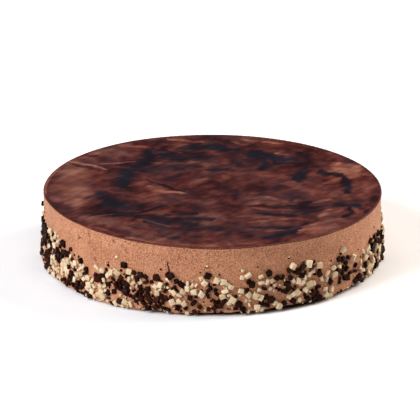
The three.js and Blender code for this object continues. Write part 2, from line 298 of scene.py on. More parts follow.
# %% [markdown]
# ## Round the side
# Angles run round the cake from the front, which is 0, to the right, which is +90 degrees. Some
# sizes change on the way: the mousse's lower edge is ragged, and the chips reach up to different
# heights. Each such profile is a short list of knots with a soft curve between them.

# %% Profiles round the side
# The mousse's lower edge: [angle, mm above the table].
LOWER_EDGE = [
    (-180, 1.4), (-150, 2.4), (-120, 1.0), (-85, 0.7), (-40, 0.7), (-27, 0.9), (-19, 2.3),
    (-13, 1.5), (0, 2.6), (14, 2.3), (27, 3.4), (42, 2.3), (54, 2.9), (75, 1.2), (105, 2.2), (140, 1.1),
]
# The chips' band: [angle, mm that it reaches up, how thickly it covers].
CHIP_BAND = [
    (-170, 29, 0.55), (-145, 25, 0.5), (-120, 31, 0.65), (-92, 27, 0.9), (-80, 34, 0.9),
    (-62, 34, 0.96), (-50, 27, 1.0), (-43, 18, 1.0), (-35, 28, 1.0), (-28, 32, 0.98),
    (-20, 26, 0.95), (-16, 31, 0.92), (-10, 26, 0.84), (-2, 31, 0.8), (7, 27, 0.66), (12, 32, 0.55),
    (20, 30, 0.6), (32, 34, 0.72), (39, 20, 0.35), (47, 31, 0.36), (57, 22, 0.45), (64, 32, 0.65),
    (80, 28, 0.7), (105, 31, 0.65), (130, 25, 0.55), (160, 31, 0.6),
]
# How far the mousse's top stands up at its edge, where the palette knife pressed it: [angle, mm].
EDGE_RISE = [
    (-180, 0.6), (-130, 1.1), (-100, 1.0), (-85, 1.3), (-70, 2.6), (-54, 2.4), (-40, 2.0),
    (-28, 1.4), (-12, 0.8), (2, 0.3), (22, 0.6), (36, 0.1), (52, 0.0), (75, 0.2), (110, 0.4),
    (150, 0.4),
]
# How far the side bulges out at the foot, where the chips were pressed on in a heap: [angle, mm].
FOOT_BULGE = [
    (-180, 0.8), (-130, 1.6), (-95, 2.2), (-78, 2.0), (-62, 1.2), (-52, 1.6), (-40, 3.2),
    (-28, 3.4), (-12, 1.5), (5, 0.6), (45, 0.4), (75, 0.4), (88, 1.4), (120, 1.6), (155, 0.9),
]


def round_the_side(knots, angle, column):
    """The value of that column at an angle or at an array of angles, in degrees."""
    angles = np.array([knot[0] for knot in knots] + [knots[0][0] + 360])
    values = np.array([knot[column] for knot in knots] + [knots[0][column]])
    turned = (angle - angles[0]) % 360 + angles[0]
    low = np.searchsorted(angles, turned, side="right") - 1
    share = (turned - angles[low]) / (angles[low + 1] - angles[low])
    ease = (1 - np.cos(np.pi * share)) / 2
    return values[low] + (values[low + 1] - values[low]) * ease


def wall_radius(angle, height):
    """The side is a cake ring's smooth wall, out of true by a few tenths of a millimetre."""
    turn = np.radians(angle)
    slow_wave = 0.25 * np.sin(3 * turn + 0.6) + 0.15 * np.sin(7 * turn + 2.1)
    flare = 0.3 * (1 - height / GLAZE_TOP)
    bulge = round_the_side(FOOT_BULGE, angle, 1) * np.maximum(0, 1 - height / BULGE_TOP)
    return CAKE_RADIUS + slow_wave + flare + bulge


def edge_lift(radius, angle):
    """How far the mousse's top stands above its level: it rises in a curve towards the edge."""
    share = np.clip(1 - (CAKE_RADIUS - radius) / EDGE_WIDTH, 0, 1)
    return round_the_side(EDGE_RISE, angle, 1) * share**2


edge_heights = round_the_side(LOWER_EDGE, np.arange(-180, 180, 5), 1)
print(f"the mousse's lower edge is {edge_heights.min():.1f} to {edge_heights.max():.1f} mm up")

# %% [markdown]
# ## The sponge base
# The sponge is a disc of dark cocoa cake, 4 mm thick, that shows as a dark line under the mousse.
# A circle extruded upwards gives the disc. Its edge was cut and has torn crumbs, so its side is
# split into short steps and each is pushed in a little by noise, never out, because the mousse
# hangs round it.

# %% Sponge material
CRUMB_SIZE = 1.3  # mm, the usual cell of a thin cocoa sponge

# Cocoa sponge: baked foam, torn open at the edge, so matte with dark holes.
sponge_material, tree, shader, mm = new_material("cocoa_sponge")
cells = add_node(tree, "ShaderNodeTexVoronoi", {"Vector": mm, "Scale": 1 / CRUMB_SIZE})
crumb = noise(tree, mm, CRUMB_SIZE / 2, 3.0)
set_up(tree, shader, {
    "Base Color": ramp(tree, crumb, [(0.3, "#140a07"), (0.7, "#2c1811")]),
    "Normal": bumps(tree, cells.outputs["Distance"], 0.8, 0.4),
    "Roughness": 0.9,
})

# %% Sponge disc
SPONGE_STEPS = 480
SPONGE_LAYERS = 5
TORN_DEPTH = 0.8  # mm
TEARS_ROUND = 400  # how many soft tears go round the edge
TEAR_HEIGHT = 1.2

bm = bmesh.new()
bmesh.ops.create_circle(bm, cap_ends=True, radius=SPONGE_RADIUS, segments=SPONGE_STEPS)
rim_edges = list(bm.edges)
for _ in range(SPONGE_LAYERS):
    risen = bmesh.ops.extrude_edge_only(bm, edges=rim_edges)["geom"]
    new_verts = [item for item in risen if isinstance(item, bmesh.types.BMVert)]
    bmesh.ops.translate(bm, verts=new_verts, vec=(0, 0, SPONGE_HEIGHT / SPONGE_LAYERS))
    rim_edges = [
        item for item in risen
        if isinstance(item, bmesh.types.BMEdge) and all(vertex in new_verts for vertex in item.verts)
    ]
bmesh.ops.holes_fill(bm, edges=[e for e in bm.edges if e.is_boundary])

x, y, z = places_of(bm)
turn = np.arctan2(x, -y)
torn = hills(turn / (2 * np.pi) * TEARS_ROUND, z / TEAR_HEIGHT, seed=5, wrap=TEARS_ROUND)
torn = 0.5 + 0.5 * torn
inner = 1 - TORN_DEPTH * torn * (z > 0.1) * (z < SPONGE_HEIGHT - 0.1) / SPONGE_RADIUS
move_to(bm, x * inner, y * inner, z)
bmesh.ops.recalc_face_normals(bm, faces=bm.faces)
sponge = finish_piece("sponge_base_crumb", bm, sponge_material, "sponge_base")

# %% [markdown]
# ## The mousse
# The mousse is a whipped foam of milk chocolate and cream that set against a steel ring. Its side
# is smooth and satin, with fine pores where bubbles met the steel and with a few deeper crevices
# where air was trapped. Half its section is drawn once, as a line of points, and spun round the
# middle. The side gets many small faces, so that the crevices are real dents in the mesh.

# %% Mousse section and spin
SPIN_STEPS = 118
CUTS_PER_STEP = 9
WALL_ROWS = 70
SKIRT_GAP = 0.3  # between the sponge's edge and the mousse that hangs round it
LIP_RISE = 0.4  # the outer edge is a little higher than the lip behind it

bm = bmesh.new()
recess_radius = SPONGE_RADIUS + SKIRT_GAP
lip_radius = (CAKE_RADIUS + recess_radius) / 2
section = [(0, SPONGE_HEIGHT), (recess_radius, SPONGE_HEIGHT), (recess_radius, 0), (lip_radius, 0)]
section += [(CAKE_RADIUS, MOUSSE_TOP * row / WALL_ROWS) for row in range(WALL_ROWS + 1)]
section += [(CAKE_RADIUS - EDGE_WIDTH * share, MOUSSE_TOP) for share in (0.25, 0.5, 0.75, 1)]
section += [(0, MOUSSE_TOP)]
points = [bm.verts.new((0, -radius, height)) for radius, height in section]
lines = [bm.edges.new(pair) for pair in zip(points, points[1:])]
bmesh.ops.spin(
    bm, geom=points + lines, cent=(0, 0, 0), axis=(0, 0, 1), dvec=(0, 0, 0),
    angle=math.tau, steps=SPIN_STEPS, use_merge=True, use_duplicate=False,
)
bmesh.ops.remove_doubles(bm, verts=bm.verts, dist=0.001)
round_edges = [
    edge for edge in bm.edges
    if abs(edge.verts[0].co.z - edge.verts[1].co.z) < 0.001
    and abs(edge.verts[0].co.length - edge.verts[1].co.length) < 0.001
]
bmesh.ops.subdivide_edges(bm, edges=round_edges, cuts=CUTS_PER_STEP, use_grid_fill=True)
bmesh.ops.recalc_face_normals(bm, faces=bm.faces)
print("mousse spun:", len(bm.verts), "vertices")

# %% Mousse crevices and unevenness
CREVICE_SEED = 7
CHANCE_CREVICES = 90
PORES_CROWD_AT = math.radians(28)  # right of the front
# Crevices that stand out: [angle, height, length, width, depth] in degrees and mm.
CREVICES = [
    (-79.5, 39, 15, 1.6, 0.5),
    (-54, 44.5, 1.6, 1.0, 0.5),
    (-50, 41, 3.6, 1.2, 0.9),
    (-45, 45.6, 2.6, 1.0, 0.8),
    (-45, 40.2, 1.8, 0.8, 0.6),
    (-42.3, 36.5, 3.0, 0.7, 0.5),
    (-42.3, 29, 3.0, 1.3, 0.8),
    (-34.3, 46.2, 2.4, 2.0, 0.6),
    (-29.5, 41.5, 3.6, 0.9, 0.8),
    (-36, 43, 1.2, 0.9, 0.5),
]
chance = seeded_chance(CREVICE_SEED)
for _ in range(CHANCE_CREVICES):
    CREVICES.append((
        360 * (chance() - 0.5),
        6 + 40 * chance(),
        1.0 + 2.2 * chance() ** 2,
        0.6 + 0.5 * chance(),
        0.2 + 0.4 * chance() ** 2,
    ))

x, y, z = places_of(bm)
radius = np.hypot(x, y)
turn = np.arctan2(x, -y)
angle = np.degrees(turn)
rounds = turn / (2 * np.pi)
on_wall = radius > lip_radius + 0.1
low_edge = round_the_side(LOWER_EDGE, angle, 1)
torn_edge = low_edge + 0.35 * hills(rounds * 300, z * 0, seed=4, wrap=300)
foot = torn_edge + LIP_RISE
lift = edge_lift(radius, angle)
raised = z + lift * (z > SPONGE_HEIGHT + 1)
z = np.where(on_wall, foot + z / MOUSSE_TOP * (MOUSSE_TOP + lift - foot), raised)
z = np.where(~on_wall & (z < 1e-6), torn_edge, z)

dent = np.zeros_like(x)
for place, height, length, width, depth in CREVICES:
    across = np.radians((angle - place + 180) % 360 - 180) * CAKE_RADIUS
    across = across + 0.25 * length * np.sin(z * 2.1 + place)
    shape = np.exp(-((2 * across / width) ** 2) - ((2 * (z - height) / length) ** 2) ** 1.5)
    dent = np.maximum(dent, depth * shape)
streaks = 0.06 * hills(rounds * 400, z / 15, seed=1, wrap=400)
lumps = 0.07 * hills(rounds * 190, z / 4, seed=2, wrap=190)
grains = 0.04 * hills(rounds * 760, z / 1.0, seed=3, wrap=760)
wall_places = wall_radius(angle, z) + streaks + lumps + grains - dent
skirt_places = wall_radius(angle, z) + streaks
wall_places = np.where(z > SPONGE_HEIGHT / 2, wall_places, skirt_places)
stretch = np.where(on_wall, wall_places / np.maximum(radius, 1), 1)
move_to(bm, x * stretch, y * stretch, z)

# Pores crowd in the upper part of the side, and most of all right of the front.
crowd_round = 0.55 + 0.45 * np.cos(turn - PORES_CROWD_AT)
crowd_round = crowd_round + 0.35 * hills(rounds * 40, z / 9, seed=6, wrap=40)
porous = np.clip(crowd_round, 0.1, 1) * (0.3 + 0.7 * soft_step(z, 18, 40))
# how deep each place sits in a crevice, for the painted shade there
keep_value(bm, "crevice_shade", np.clip(dent / 0.5, 0, 1) * on_wall)
keep_value(bm, "porous", porous * on_wall)
print(f"{len(CREVICES)} crevices, the deepest {dent.max():.1f} mm")

# %% [markdown]
# The colour of mousse is that of milk chocolate made paler by air. It scatters light a little way
# under its surface, which Subsurface gives. The pores are cells of a Voronoi pattern: each cell
# has one point, and the surface near it dips and is painted dark, a painted shade for the hole.
# There are two sizes of pores, and the "porous" value from the mesh widens them where they crowd.
# The crevices are painted darker as well, by their depth: painted shade in the dents.

# %% Mousse material
PORE_SPACINGS = (2.1, 1.25)  # mm, between large and between small bubbles that met the ring
PORE_SHARES = (0.3, 0.27)  # how far a pore reaches in its cell
# how dark the pores are painted, large then small: painted shade in the holes
PAINTED_PORE_SHADE = (0.85, 0.6)
GRAIN_SIZE = 0.8  # mm; the real foam is finer, and this is as fine as the picture can show
GRAIN_STRENGTH = 1.5
CLOUD_SIZE = 16  # mm
STREAK_SPACING = 1.6  # mm, faint upright lines that the ring left
STREAK_STRENGTH = 0.2

mousse_material, tree, shader, mm = new_material("milk_chocolate_mousse")
porous = attribute(tree, "porous")
cloud = noise(tree, mm, CLOUD_SIZE, 2.0)
faint_cloud = spread(tree, cloud, new=(0.3, 0.7))
upright = add_node(tree, "ShaderNodeMapping", {"Vector": mm, "Scale": (1, 1, 0.08)})
streak = noise(tree, upright.outputs["Vector"], STREAK_SPACING, 2.0)
grain = noise(tree, mm, GRAIN_SIZE, 2.0)
shade = calculate(tree, "MULTIPLY_ADD", streak, STREAK_STRENGTH, faint_cloud)
shade = calculate(tree, "MULTIPLY_ADD", grain, GRAIN_STRENGTH, shade)
surface = ramp(tree, spread(tree, shade, old=(0.95, 1.75)), [
    (0.15, "#845032"), (0.5, "#a46d4e"), (0.85, "#bd8866"),
])
dip = grain
for spacing, reach, painted_shade in zip(PORE_SPACINGS, PORE_SHARES, PAINTED_PORE_SHADE):
    cells = add_node(tree, "ShaderNodeTexVoronoi", {"Vector": mm, "Scale": 1 / spacing})
    edge = calculate(tree, "MULTIPLY_ADD", porous, reach, 0.04)
    wall = calculate(tree, "DIVIDE", cells.outputs["Distance"], edge, clamp=True)
    solid_share = spread(tree, wall, old=(0.35, 1.0), new=(1 - painted_shade, 1.0))
    # The pores are painted dark: painted shade in the holes.
    surface = blend(tree, solid_share, linear("#5c3420"), surface)
    dip = calculate(tree, "ADD", dip, wall)
# The crevices are painted darker by their depth: painted shade in the dents.
set_up(tree, shader, {
    "Base Color": blend(tree, attribute(tree, "crevice_shade"), surface, linear("#5e3019")),
    "Normal": bumps(tree, dip, 0.6, 0.25),
    "Roughness": 0.6,
    "IOR": 1.45,
    "Specular IOR Level": 0.3,
    "Subsurface Weight": 0.15,
    "Subsurface Radius": (1.0, 0.5, 0.3),
    "Subsurface Scale": 1.0 * MM,
})

mousse = finish_piece(
    "mousse_side", bm, mousse_material, "mousse_with_chips"
)

# %% [markdown]
# ## The chips
# Diced chocolate is cut in a machine into small blocks, and the blocks break on the way into
# smaller ones and crumbs, so the chips here run from 4.7 mm down to 1.6 mm. Real ones all differ,
# so each is its own cube with its corners pushed about. First the largest chip of each clump is
# set: from a list where the photograph shows one, and by chance round the back. Then darts are
# thrown at the side: a chip sticks where the band is thick, a clump is near and no other chip
# lies, the largest first, and it is often of the clump's kind.

# %% Where the chips stick
CHIP_SEED = 20
# Sizes from and to, darts thrown, and how much they gather where the band is thick.
CHIP_CLASSES = [(3.4, 4.3, 1900, 0.5), (2.6, 3.4, 1800, 1.5), (1.6, 2.6, 3600, 4)]
CHIP_CLEARANCE = 0.49  # centres are at least this share of the two sizes apart,
HEAPING = 0.1  # less this where the band is thickest and chips lie on each other
BAND_FOOT = 1.5
BAND_LIMIT = 36
TABLE_CLEARANCE = 0.3
# The largest chip of each clump that is seen from the front: [angle, height, size, dark].
CLUMPS = [
    (-90, 38, 3.5, True), (-85, 30, 3.8, True), (-79, 20, 3.7, True), (-76, 28, 3.5, True),
    (-73, 12, 3.7, True), (-69.5, 24, 4.2, True), (-70, 32.5, 3.9, False), (-65.5, 25, 4.2, False),
    (-66, 8, 3.7, False), (-64.5, 34, 3.7, False), (-62, 20.5, 4, True), (-59, 31, 4.6, True),
    (-57, 25, 3.5, True), (-57, 13.5, 3.7, False), (-55.5, 5.5, 3.8, True), (-55.5, 20, 4, False),
    (-54, 12, 3.7, True), (-54.3, 24.5, 3.3, False), (-54.5, 29.5, 2.8, True),
    (-50.5, 13.5, 3.5, False), (-49, 24.5, 4, True), (-48, 6, 3.7, True), (-48.8, 19, 3.5, False),
    (-46, 20, 3.7, True), (-47, 12.5, 3.3, False), (-44, 10, 4.3, False), (-41, 24.5, 4, False),
    (-40, 18, 3.8, True), (-38.5, 8, 4.2, False), (-35, 23.5, 4.2, False), (-33, 15, 4.7, True),
    (-30, 31, 4.2, True), (-29.5, 12.5, 4.3, True), (-28, 27, 4, False), (-29, 5.5, 4, False),
    (-26.5, 19.5, 4.3, False), (-24, 26, 4.2, True), (-24, 14, 4.3, True), (-18.5, 26, 4.3, True),
    (-17, 21, 4, False), (-17, 6.5, 4, True), (-15, 12, 4, True), (-13.5, 28, 4.7, True),
    (-12.5, 16.5, 4, False), (-13, 9.5, 4.2, False), (-10, 22.5, 4.2, True), (-8, 20, 4.2, False),
    (-9, 9, 4.3, False), (-6, 10, 4.7, True), (-2.5, 24.5, 4.2, False), (-1.5, 29.5, 4.2, True),
    (-1, 19.5, 4.7, True), (2.5, 8, 3.8, True), (3.5, 25, 4.3, False), (4, 18.5, 4.5, False),
    (6.5, 12, 4.3, False), (8.5, 8.5, 4.3, True), (11.5, 29, 4.5, False), (12.8, 22, 4.3, True),
    (14, 14, 4.5, False), (14.5, 5.5, 4, False), (17.8, 23, 4.2, False), (18.5, 29, 4.2, True),
    (19, 9.5, 4.7, True), (22, 4.5, 4, False), (23.8, 14, 4.7, True), (24.8, 19.5, 4.3, True),
    (23.2, 24.5, 3.8, True), (27, 31.5, 4.3, False), (28.5, 12, 4.3, False), (29, 20, 4.3, False),
    (30.5, 29.5, 4.2, True), (32.8, 31, 4.7, False), (34.8, 31, 3.4, True), (33, 16, 4.3, False),
    (34.5, 9, 4.2, True), (37.3, 21.5, 4.2, True), (37, 28, 4.2, False), (37, 4.6, 4.3, True),
    (42, 13.5, 4, True), (43.5, 22.5, 3.5, False), (42.5, 7.5, 4.2, False), (48, 33, 4.2, False),
    (48, 26.5, 4.2, True), (48.5, 13, 4.3, True), (53.5, 24.5, 4.5, False), (55, 17.5, 3.8, True),
    (57, 7, 4.6, True), (59.3, 11, 4, False), (61.8, 13.5, 4.2, True), (61.5, 19, 4.2, False),
    (63, 24, 4.3, False), (66, 28, 4.3, True), (68, 23, 4.6, True), (64, 10.5, 4.6, False),
    (68.5, 12, 4.4, False), (71.5, 5.5, 4.3, True), (75, 27, 4, True), (76, 14, 4.3, False),
    (-33, 35.5, 1.9, False), (9.7, 32.5, 2.2, False),
]
BACK_CLUMPS = (80, 270, 95)  # from, to, how many
CLUMP_REACH = 6  # mm that a clump spreads from its largest chip
TRUE_TO_KIND = 0.55  # share of the darts that stay true to the clump's kind
DARK_SHARE = 0.64  # of the others
BAND_FADE = 6  # mm over which the band thins out at its top
SLIVER_SHARE = 0.28  # of the chips broke to half their width
MOST_TILT = 44  # degrees between a chip's furthest tilts
CORNER_PLAY = 0.3  # share of its size that a corner can be out of place
DARK_THICKNESS, IVORY_THICKNESS = 0.56, 0.62  # shares of a chip's size


def chip_plan():
    """Every chip of the cake, with its place, size, turn and corners."""
    chance = seeded_chance(CHIP_SEED)
    chips = []

    def between(low, high):
        return low + (high - low) * chance()

    def apart(angle, height, other):
        turn = abs((angle - other["angle"] + 540) % 360 - 180)
        return math.hypot(math.radians(turn) * CAKE_RADIUS, height - other["height"])

    def is_free(angle, height, size, cover):
        clearance = CHIP_CLEARANCE - HEAPING * cover
        return all(
            apart(angle, height, other) > clearance * (size + other["size"]) for other in chips
        )

    def lowest_place(angle, size):
        return max(0.3 + 0.6 * size, round_the_side(LOWER_EDGE, angle, 1) + 0.35 * size)

    def add(angle, height, size, dark):
        slender = 0.5 if chance() < SLIVER_SHARE else 0.8 + 0.2 * chance()
        chips.append({
            "angle": angle,
            "height": max(height, lowest_place(angle, size)),
            "size": size,
            "dark": dark,
            "width": size * slender,
            "thickness": size * (DARK_THICKNESS if dark else IVORY_THICKNESS),
            "spin": 360 * chance(),
            "tilt_a": MOST_TILT * (chance() - 0.5),
            "tilt_b": MOST_TILT * (chance() - 0.5),
            "standing": 0.3 + 0.6 * chance(),
            "corners": [1 + CORNER_PLAY * (chance() - 0.5) for _ in range(24)],
        })

    for clump in CLUMPS:
        add(*clump)
    for _ in range(BACK_CLUMPS[2]):
        angle = between(*BACK_CLUMPS[:2])
        height = between(BAND_FOOT, round_the_side(CHIP_BAND, angle, 1))
        size = between(3.7, 4.7)
        dark = chance() < 0.5
        if is_free(angle, height, size, 0.5):
            add(angle, height, size, dark)
    clumps = list(chips)

    for smallest, largest, darts, gathering in CHIP_CLASSES:
        for _ in range(darts):
            angle = between(-180, 180)
            height = between(BAND_FOOT, BAND_LIMIT)
            size = between(smallest, largest)
            nearest, kind = min(
                ((apart(angle, height, clump), clump) for clump in clumps), key=lambda pair: pair[0]
            )
            dark = kind["dark"] if chance() < TRUE_TO_KIND else chance() < DARK_SHARE
            reach = round_the_side(CHIP_BAND, angle, 1)
            cover = round_the_side(CHIP_BAND, angle, 2)
            fading = min(1, max(0, (reach - height) / BAND_FADE))
            crowding = 0.35 + 1.3 * math.exp(-((nearest / CLUMP_REACH) ** 2))
            sticks = chance() < cover**gathering * crowding * fading
            fits = height > lowest_place(angle, size)
            if sticks and fits and is_free(angle, height, size, cover):
                add(angle, height, size, dark)
    return chips


chips = chip_plan()
print(len(chips), "chips,", sum(chip["dark"] for chip in chips), "of them dark")

# %% [markdown]
# A chip starts as a cube. Its corners are moved, its edges bevelled so that they catch the light,
# and it is turned and sunk into the side at its angle. Each chip keeps one random number on its
# vertices, and the material turns that into a slightly different colour for each.

# %% Cut the chips
WORN_EDGE = 0.35  # mm


def stand_at(angle, out, height):
    """The matrix that moves something from the middle to its angle and height on the side."""
    return Matrix.Rotation(math.radians(angle), 4, "Z") @ Matrix.Translation((0, -out, height))


def cut_chip(bm, tone_layer, chip, tone):
    """Adds one broken block to the bmesh, where the chip sticks."""
    verts = bmesh.ops.create_cube(bm, size=1)["verts"]
    tumble = (
        Matrix.Rotation(math.radians(chip["spin"]), 4, "Y")
        @ Matrix.Rotation(math.radians(chip["tilt_a"]), 4, "X")
        @ Matrix.Rotation(math.radians(chip["tilt_b"]), 4, "Z")
    )
    for vertex in verts:
        x, y, z = vertex.co
        corner = 3 * ((x > 0) + 2 * (y > 0) + 4 * (z > 0))
        vertex.co = tumble @ Vector((
            x * chip["size"] * chip["corners"][corner],
            y * chip["thickness"] * chip["corners"][corner + 1],
            z * chip["width"] * chip["corners"][corner + 2],
        ))
    out = wall_radius(chip["angle"], chip["height"]) + chip["thickness"] / 2 * chip["standing"]
    height = max(chip["height"], TABLE_CLEARANCE - min(vertex.co.z for vertex in verts))
    bmesh.ops.transform(bm, matrix=stand_at(chip["angle"], out, height), verts=verts)
    for vertex in (verts[0], verts[7]):
        for face in vertex.link_faces:
            face[tone_layer] = tone


def wear_edges(bm, tone_layer):
    """Rounds the blocks' edges and hands each face's tone on to its corners."""
    bmesh.ops.bevel(
        bm, geom=bm.edges, offset=WORN_EDGE, offset_type="OFFSET",
        segments=2, profile=0.5, affect="EDGES", material=-1,
    )
    corner_tone = bm.verts.layers.float.new("tone")
    for vertex in bm.verts:
        vertex[corner_tone] = vertex.link_faces[0][tone_layer]
    return corner_tone


chance = seeded_chance(CHIP_SEED + 1)
dark_bm, ivory_bm = bmesh.new(), bmesh.new()
dark_tones, ivory_tones = (b.faces.layers.float.new("face_tone") for b in (dark_bm, ivory_bm))
for chip in chips:
    if chip["dark"]:
        cut_chip(dark_bm, dark_tones, chip, chance())
    else:
        cut_chip(ivory_bm, ivory_tones, chip, chance())
dark_tone = wear_edges(dark_bm, dark_tones)
ivory_tone = wear_edges(ivory_bm, ivory_tones)
print(len(dark_bm.faces), "dark faces and", len(ivory_bm.faces), "ivory ones")

# %% [markdown]
# What broke off the chips lies between them and gathers at the foot: crumbs of a millimetre or so
# and thin shavings. They are too small to need worn edges. One thread of dark chocolate runs up
# the side from a chip, as a drip leaves it when the chips are still warm.

# %% Crumbs, shavings and the thread
CRUMB_SEED = 41
CRUMBS = 520
SHAVING_SHARE = 0.25  # of the crumbs at the foot are thin shavings
FOOT_SHARE = 0.45  # of the crumbs fell to the foot
# The thread, from its foot up: [angle, height].
THREAD_PATH = [(-13.9, 28.5), (-14.2, 31), (-14.3, 33.5), (-14.7, 36), (-14.6, 38.2)]
THREAD_THICKNESS = 1.3  # at its foot; it runs out to a third of that


def cut_crumb(bm, tone_layer, chance):
    """Adds one crumb or shaving to the bmesh: a tiny block with its corners pushed about."""
    at_foot = chance() < FOOT_SHARE
    angle = 360 * (chance() - 0.5)
    edge = round_the_side(LOWER_EDGE, angle, 1)
    reach = round_the_side(CHIP_BAND, angle, 1) + 3
    height = edge + 0.4 + (3.5 * chance() ** 2 if at_foot else reach * chance())
    size = 0.7 + 1.1 * chance() ** 2
    shaving = at_foot and chance() < SHAVING_SHARE
    long_side = size * (2.2 if shaving else 1.0 + 0.4 * chance())
    thin_side = size * (0.35 if shaving else 0.8)
    tilt = 50 * (chance() - 0.5) if shaving else 360 * chance()
    verts = bmesh.ops.create_cube(bm, size=1)["verts"]
    for vertex in verts:
        vertex.co = [
            vertex.co.x * long_side * (0.75 + 0.5 * chance()),
            vertex.co.y * thin_side * (0.75 + 0.5 * chance()),
            vertex.co.z * size * (0.75 + 0.5 * chance()),
        ]
    tumble = Matrix.Rotation(math.radians(tilt), 4, "Y") @ Matrix.Rotation(chance(), 4, "Z")
    bmesh.ops.transform(bm, matrix=tumble, verts=verts)
    lowest = TABLE_CLEARANCE - min(vertex.co.z for vertex in verts)
    out = wall_radius(angle, height) + 0.25 * thin_side
    bmesh.ops.transform(bm, matrix=stand_at(angle, out, max(height, lowest)), verts=verts)
    tone = chance()
    for vertex in verts:
        vertex[tone_layer] = tone


def draw_thread(bm, tone_layer):
    """Adds the thread: a ring of corners extruded along its path, thinner and thinner."""
    def on_side(angle, height):
        turn = math.radians(angle)
        radius = wall_radius(angle, height) + 0.2
        return Vector((radius * math.sin(turn), -radius * math.cos(turn), height))

    sides = 6
    places = [on_side(*knot) for knot in THREAD_PATH]
    ring = bmesh.ops.create_circle(
        bm, cap_ends=True, segments=sides, radius=THREAD_THICKNESS / 2
    )["verts"]
    bmesh.ops.translate(bm, verts=ring, vec=places[0])
    made = list(ring)
    tip = ring[0].link_faces[0]
    for share, (here, there) in enumerate(zip(places, places[1:]), start=1):
        risen = bmesh.ops.extrude_discrete_faces(bm, faces=[tip])["faces"]
        tip = risen[0]
        bmesh.ops.translate(bm, verts=tip.verts, vec=there - here)
        thinner = 1 - 0.67 * share / (len(places) - 1)
        for vertex in tip.verts:
            vertex.co = there + (vertex.co - there).normalized() * THREAD_THICKNESS / 2 * thinner
        made += tip.verts
    for vertex in made:
        vertex[tone_layer] = 0.9


chance = seeded_chance(CRUMB_SEED)
for _ in range(CRUMBS):
    if chance() < 0.5:
        cut_crumb(dark_bm, dark_tone, chance)
    else:
        cut_crumb(ivory_bm, ivory_tone, chance)
draw_thread(dark_bm, dark_tone)
for crumbled in (dark_bm, ivory_bm):
    bmesh.ops.recalc_face_normals(crumbled, faces=crumbled.faces)
print(CRUMBS, "crumbs, and a thread of", len(THREAD_PATH), "knots")

# %% [markdown]
# Cut chocolate is satin. The dark one is nearly black. The ivory one is waxy, so it scatters light
# a little way under its surface.

# %% Chip materials


def cut_chocolate(name, tones, grain_size, strength, settings):
    """A chocolate whose chips differ a little in colour and are finely chipped all over."""
    material, tree, shader, mm = new_material(name)
    chipped = noise(tree, mm, grain_size, 3.0)
    set_up(tree, shader, {
        "Base Color": ramp(tree, attribute(tree, "tone"), tones),
        "Normal": bumps(tree, chipped, strength, 0.4),
        "Roughness": 0.5,
        "IOR": 1.46,
        **settings,
    })
    return material


dark_material = cut_chocolate(
    "dark_chocolate", [(0.0, "#160401"), (0.6, "#210903"), (1.0, "#311306")], 1.2, 0.6,
    {"Specular IOR Level": 0.06},
)
ivory_material = cut_chocolate(
    "ivory_chocolate", [(0.0, "#b8a07c"), (0.35, "#c4ac88"), (0.8, "#cdb797"), (1.0, "#cbad8c")],
    1.5, 0.5,
    {
        "Subsurface Weight": 0.15,
        "Subsurface Radius": (1.0, 0.8, 0.5),
        "Subsurface Scale": 1.0 * MM,
    },
)
dark_chips = finish_piece(
    "dark_chips", dark_bm, dark_material, "mousse_with_chips"
)
ivory_chips = finish_piece(
    "ivory_chips", ivory_bm, ivory_material, "mousse_with_chips"
)

# %% [markdown]
# ## The glaze
# Two chocolates were poured on the top and drawn together once or twice with a palette knife. The
# knife left folds: each is steep on one side and runs out gently on the other. The top starts as
# a square grid that is drawn out to a disc, so its faces stay nearly the same size all over. Its
# border is then extruded in steps down the rounded rim.

# %% Relief of the glaze
KNIFE_TURN = math.radians(42)  # the way of most strokes, from the right towards the back
KNIFE_BOW = 9  # mm, how far a stroke bends aside
# Folds that the knife left: [x, y, direction in degrees, length, width, height], in mm.
# A fold is steep on its front side and runs out gently behind; a negative height is a groove.
KNIFE_FOLDS = [
    (-88, 47, -37, 38, 7, 0.9),
    (-45, 57, 4, 76, 6, 0.5),
    (-35, 6, -42, 44, 9, -1.0),
    (40, -22, -5, 34, 6, 0.9),
    (41, -35, 2, 36, 5, -0.8),
    (-66, -50, 2, 42, 6, -0.8),
    (-46, -77, -30, 46, 6, 0.6),
    (88, 24, -58, 46, 7, 0.7),
    (46, -76, 8, 44, 6, -0.8),
    (50, -91, 12, 44, 6, 0.5),
    (90, -44, 36, 52, 6, 0.6),
    (50, 38, 4, 34, 6, -0.7),
    (-10, -58, 14, 44, 8, 0.4),
    (4, 24, 20, 50, 9, 0.4),
    (-30, 92, -8, 60, 8, 0.5),
    (40, 88, -14, 50, 7, -0.5),
]


def knife_way(x, y):
    """Places measured along and across the sweep of the palette knife, which bends a little."""
    along = x * math.cos(KNIFE_TURN) + y * math.sin(KNIFE_TURN)
    across = y * math.cos(KNIFE_TURN) - x * math.sin(KNIFE_TURN)
    return along, across + KNIFE_BOW * np.sin(along / 42)


def glaze_relief(x, y):
    """How far the glaze stands above its mean level."""
    height = 0.22 * np.sin(x / 17 + 1.3 * np.sin(y / 31))
    height = height + 0.2 * np.sin(y / 13 + 1.7 * np.sin(x / 41 + 1))
    for x0, y0, direction, length, width, rise in KNIFE_FOLDS:
        turn = math.radians(direction)
        along = (x - x0) * math.cos(turn) + (y - y0) * math.sin(turn)
        across = (y - y0) * math.cos(turn) - (x - x0) * math.sin(turn)
        steepness = np.where(across < 0, width * 0.45, width)
        height = height + rise * np.exp(-((across / steepness) ** 2) - (2 * along / length) ** 4)
    return height


